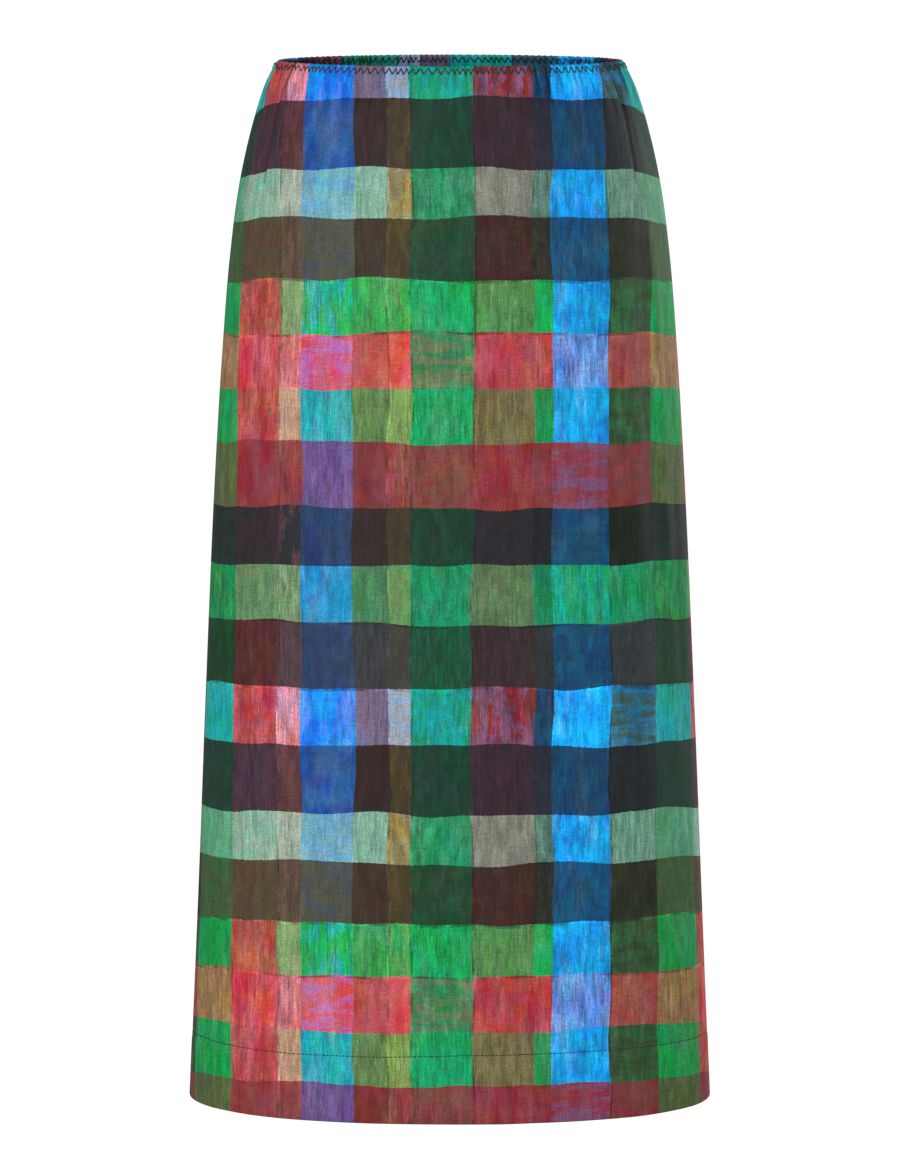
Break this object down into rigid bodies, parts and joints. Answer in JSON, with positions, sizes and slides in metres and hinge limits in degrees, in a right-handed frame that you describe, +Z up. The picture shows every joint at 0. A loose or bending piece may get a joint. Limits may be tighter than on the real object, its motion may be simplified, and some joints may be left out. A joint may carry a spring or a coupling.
{
  "type": "midi skirt",
  "caption": "Pull-on midi skirt in painted-check cloth: gathered elastic waist, waist darts, straight shape with a slight flare and a deep turned-up hem, hollow as worn.",
  "frame": {"origin": "middle of the waist opening, level with the waist's top edge, where the wearer's waist holds it", "axes": "+Z up out of the waist, -Y towards the front, +X towards the wearer's left side"},
  "size_m": [0.4194, 0.261, 0.833],
  "materials": {
    "cloth": "soft satin viscose, painted check print",
    "thread": "near-black sewing thread"
  },
  "bodies": {
    "root": {"front_panel": "cloth", "front_waist_casing": "cloth", "front_hem_turnup": "cloth", "back_left_panel": "cloth", "back_left_waist_casing": "cloth", "back_left_hem_turnup": "cloth", "back_right_panel": "cloth", "back_right_waist_casing": "cloth", "back_right_hem_turnup": "cloth"}
  },
  "joints": []
}
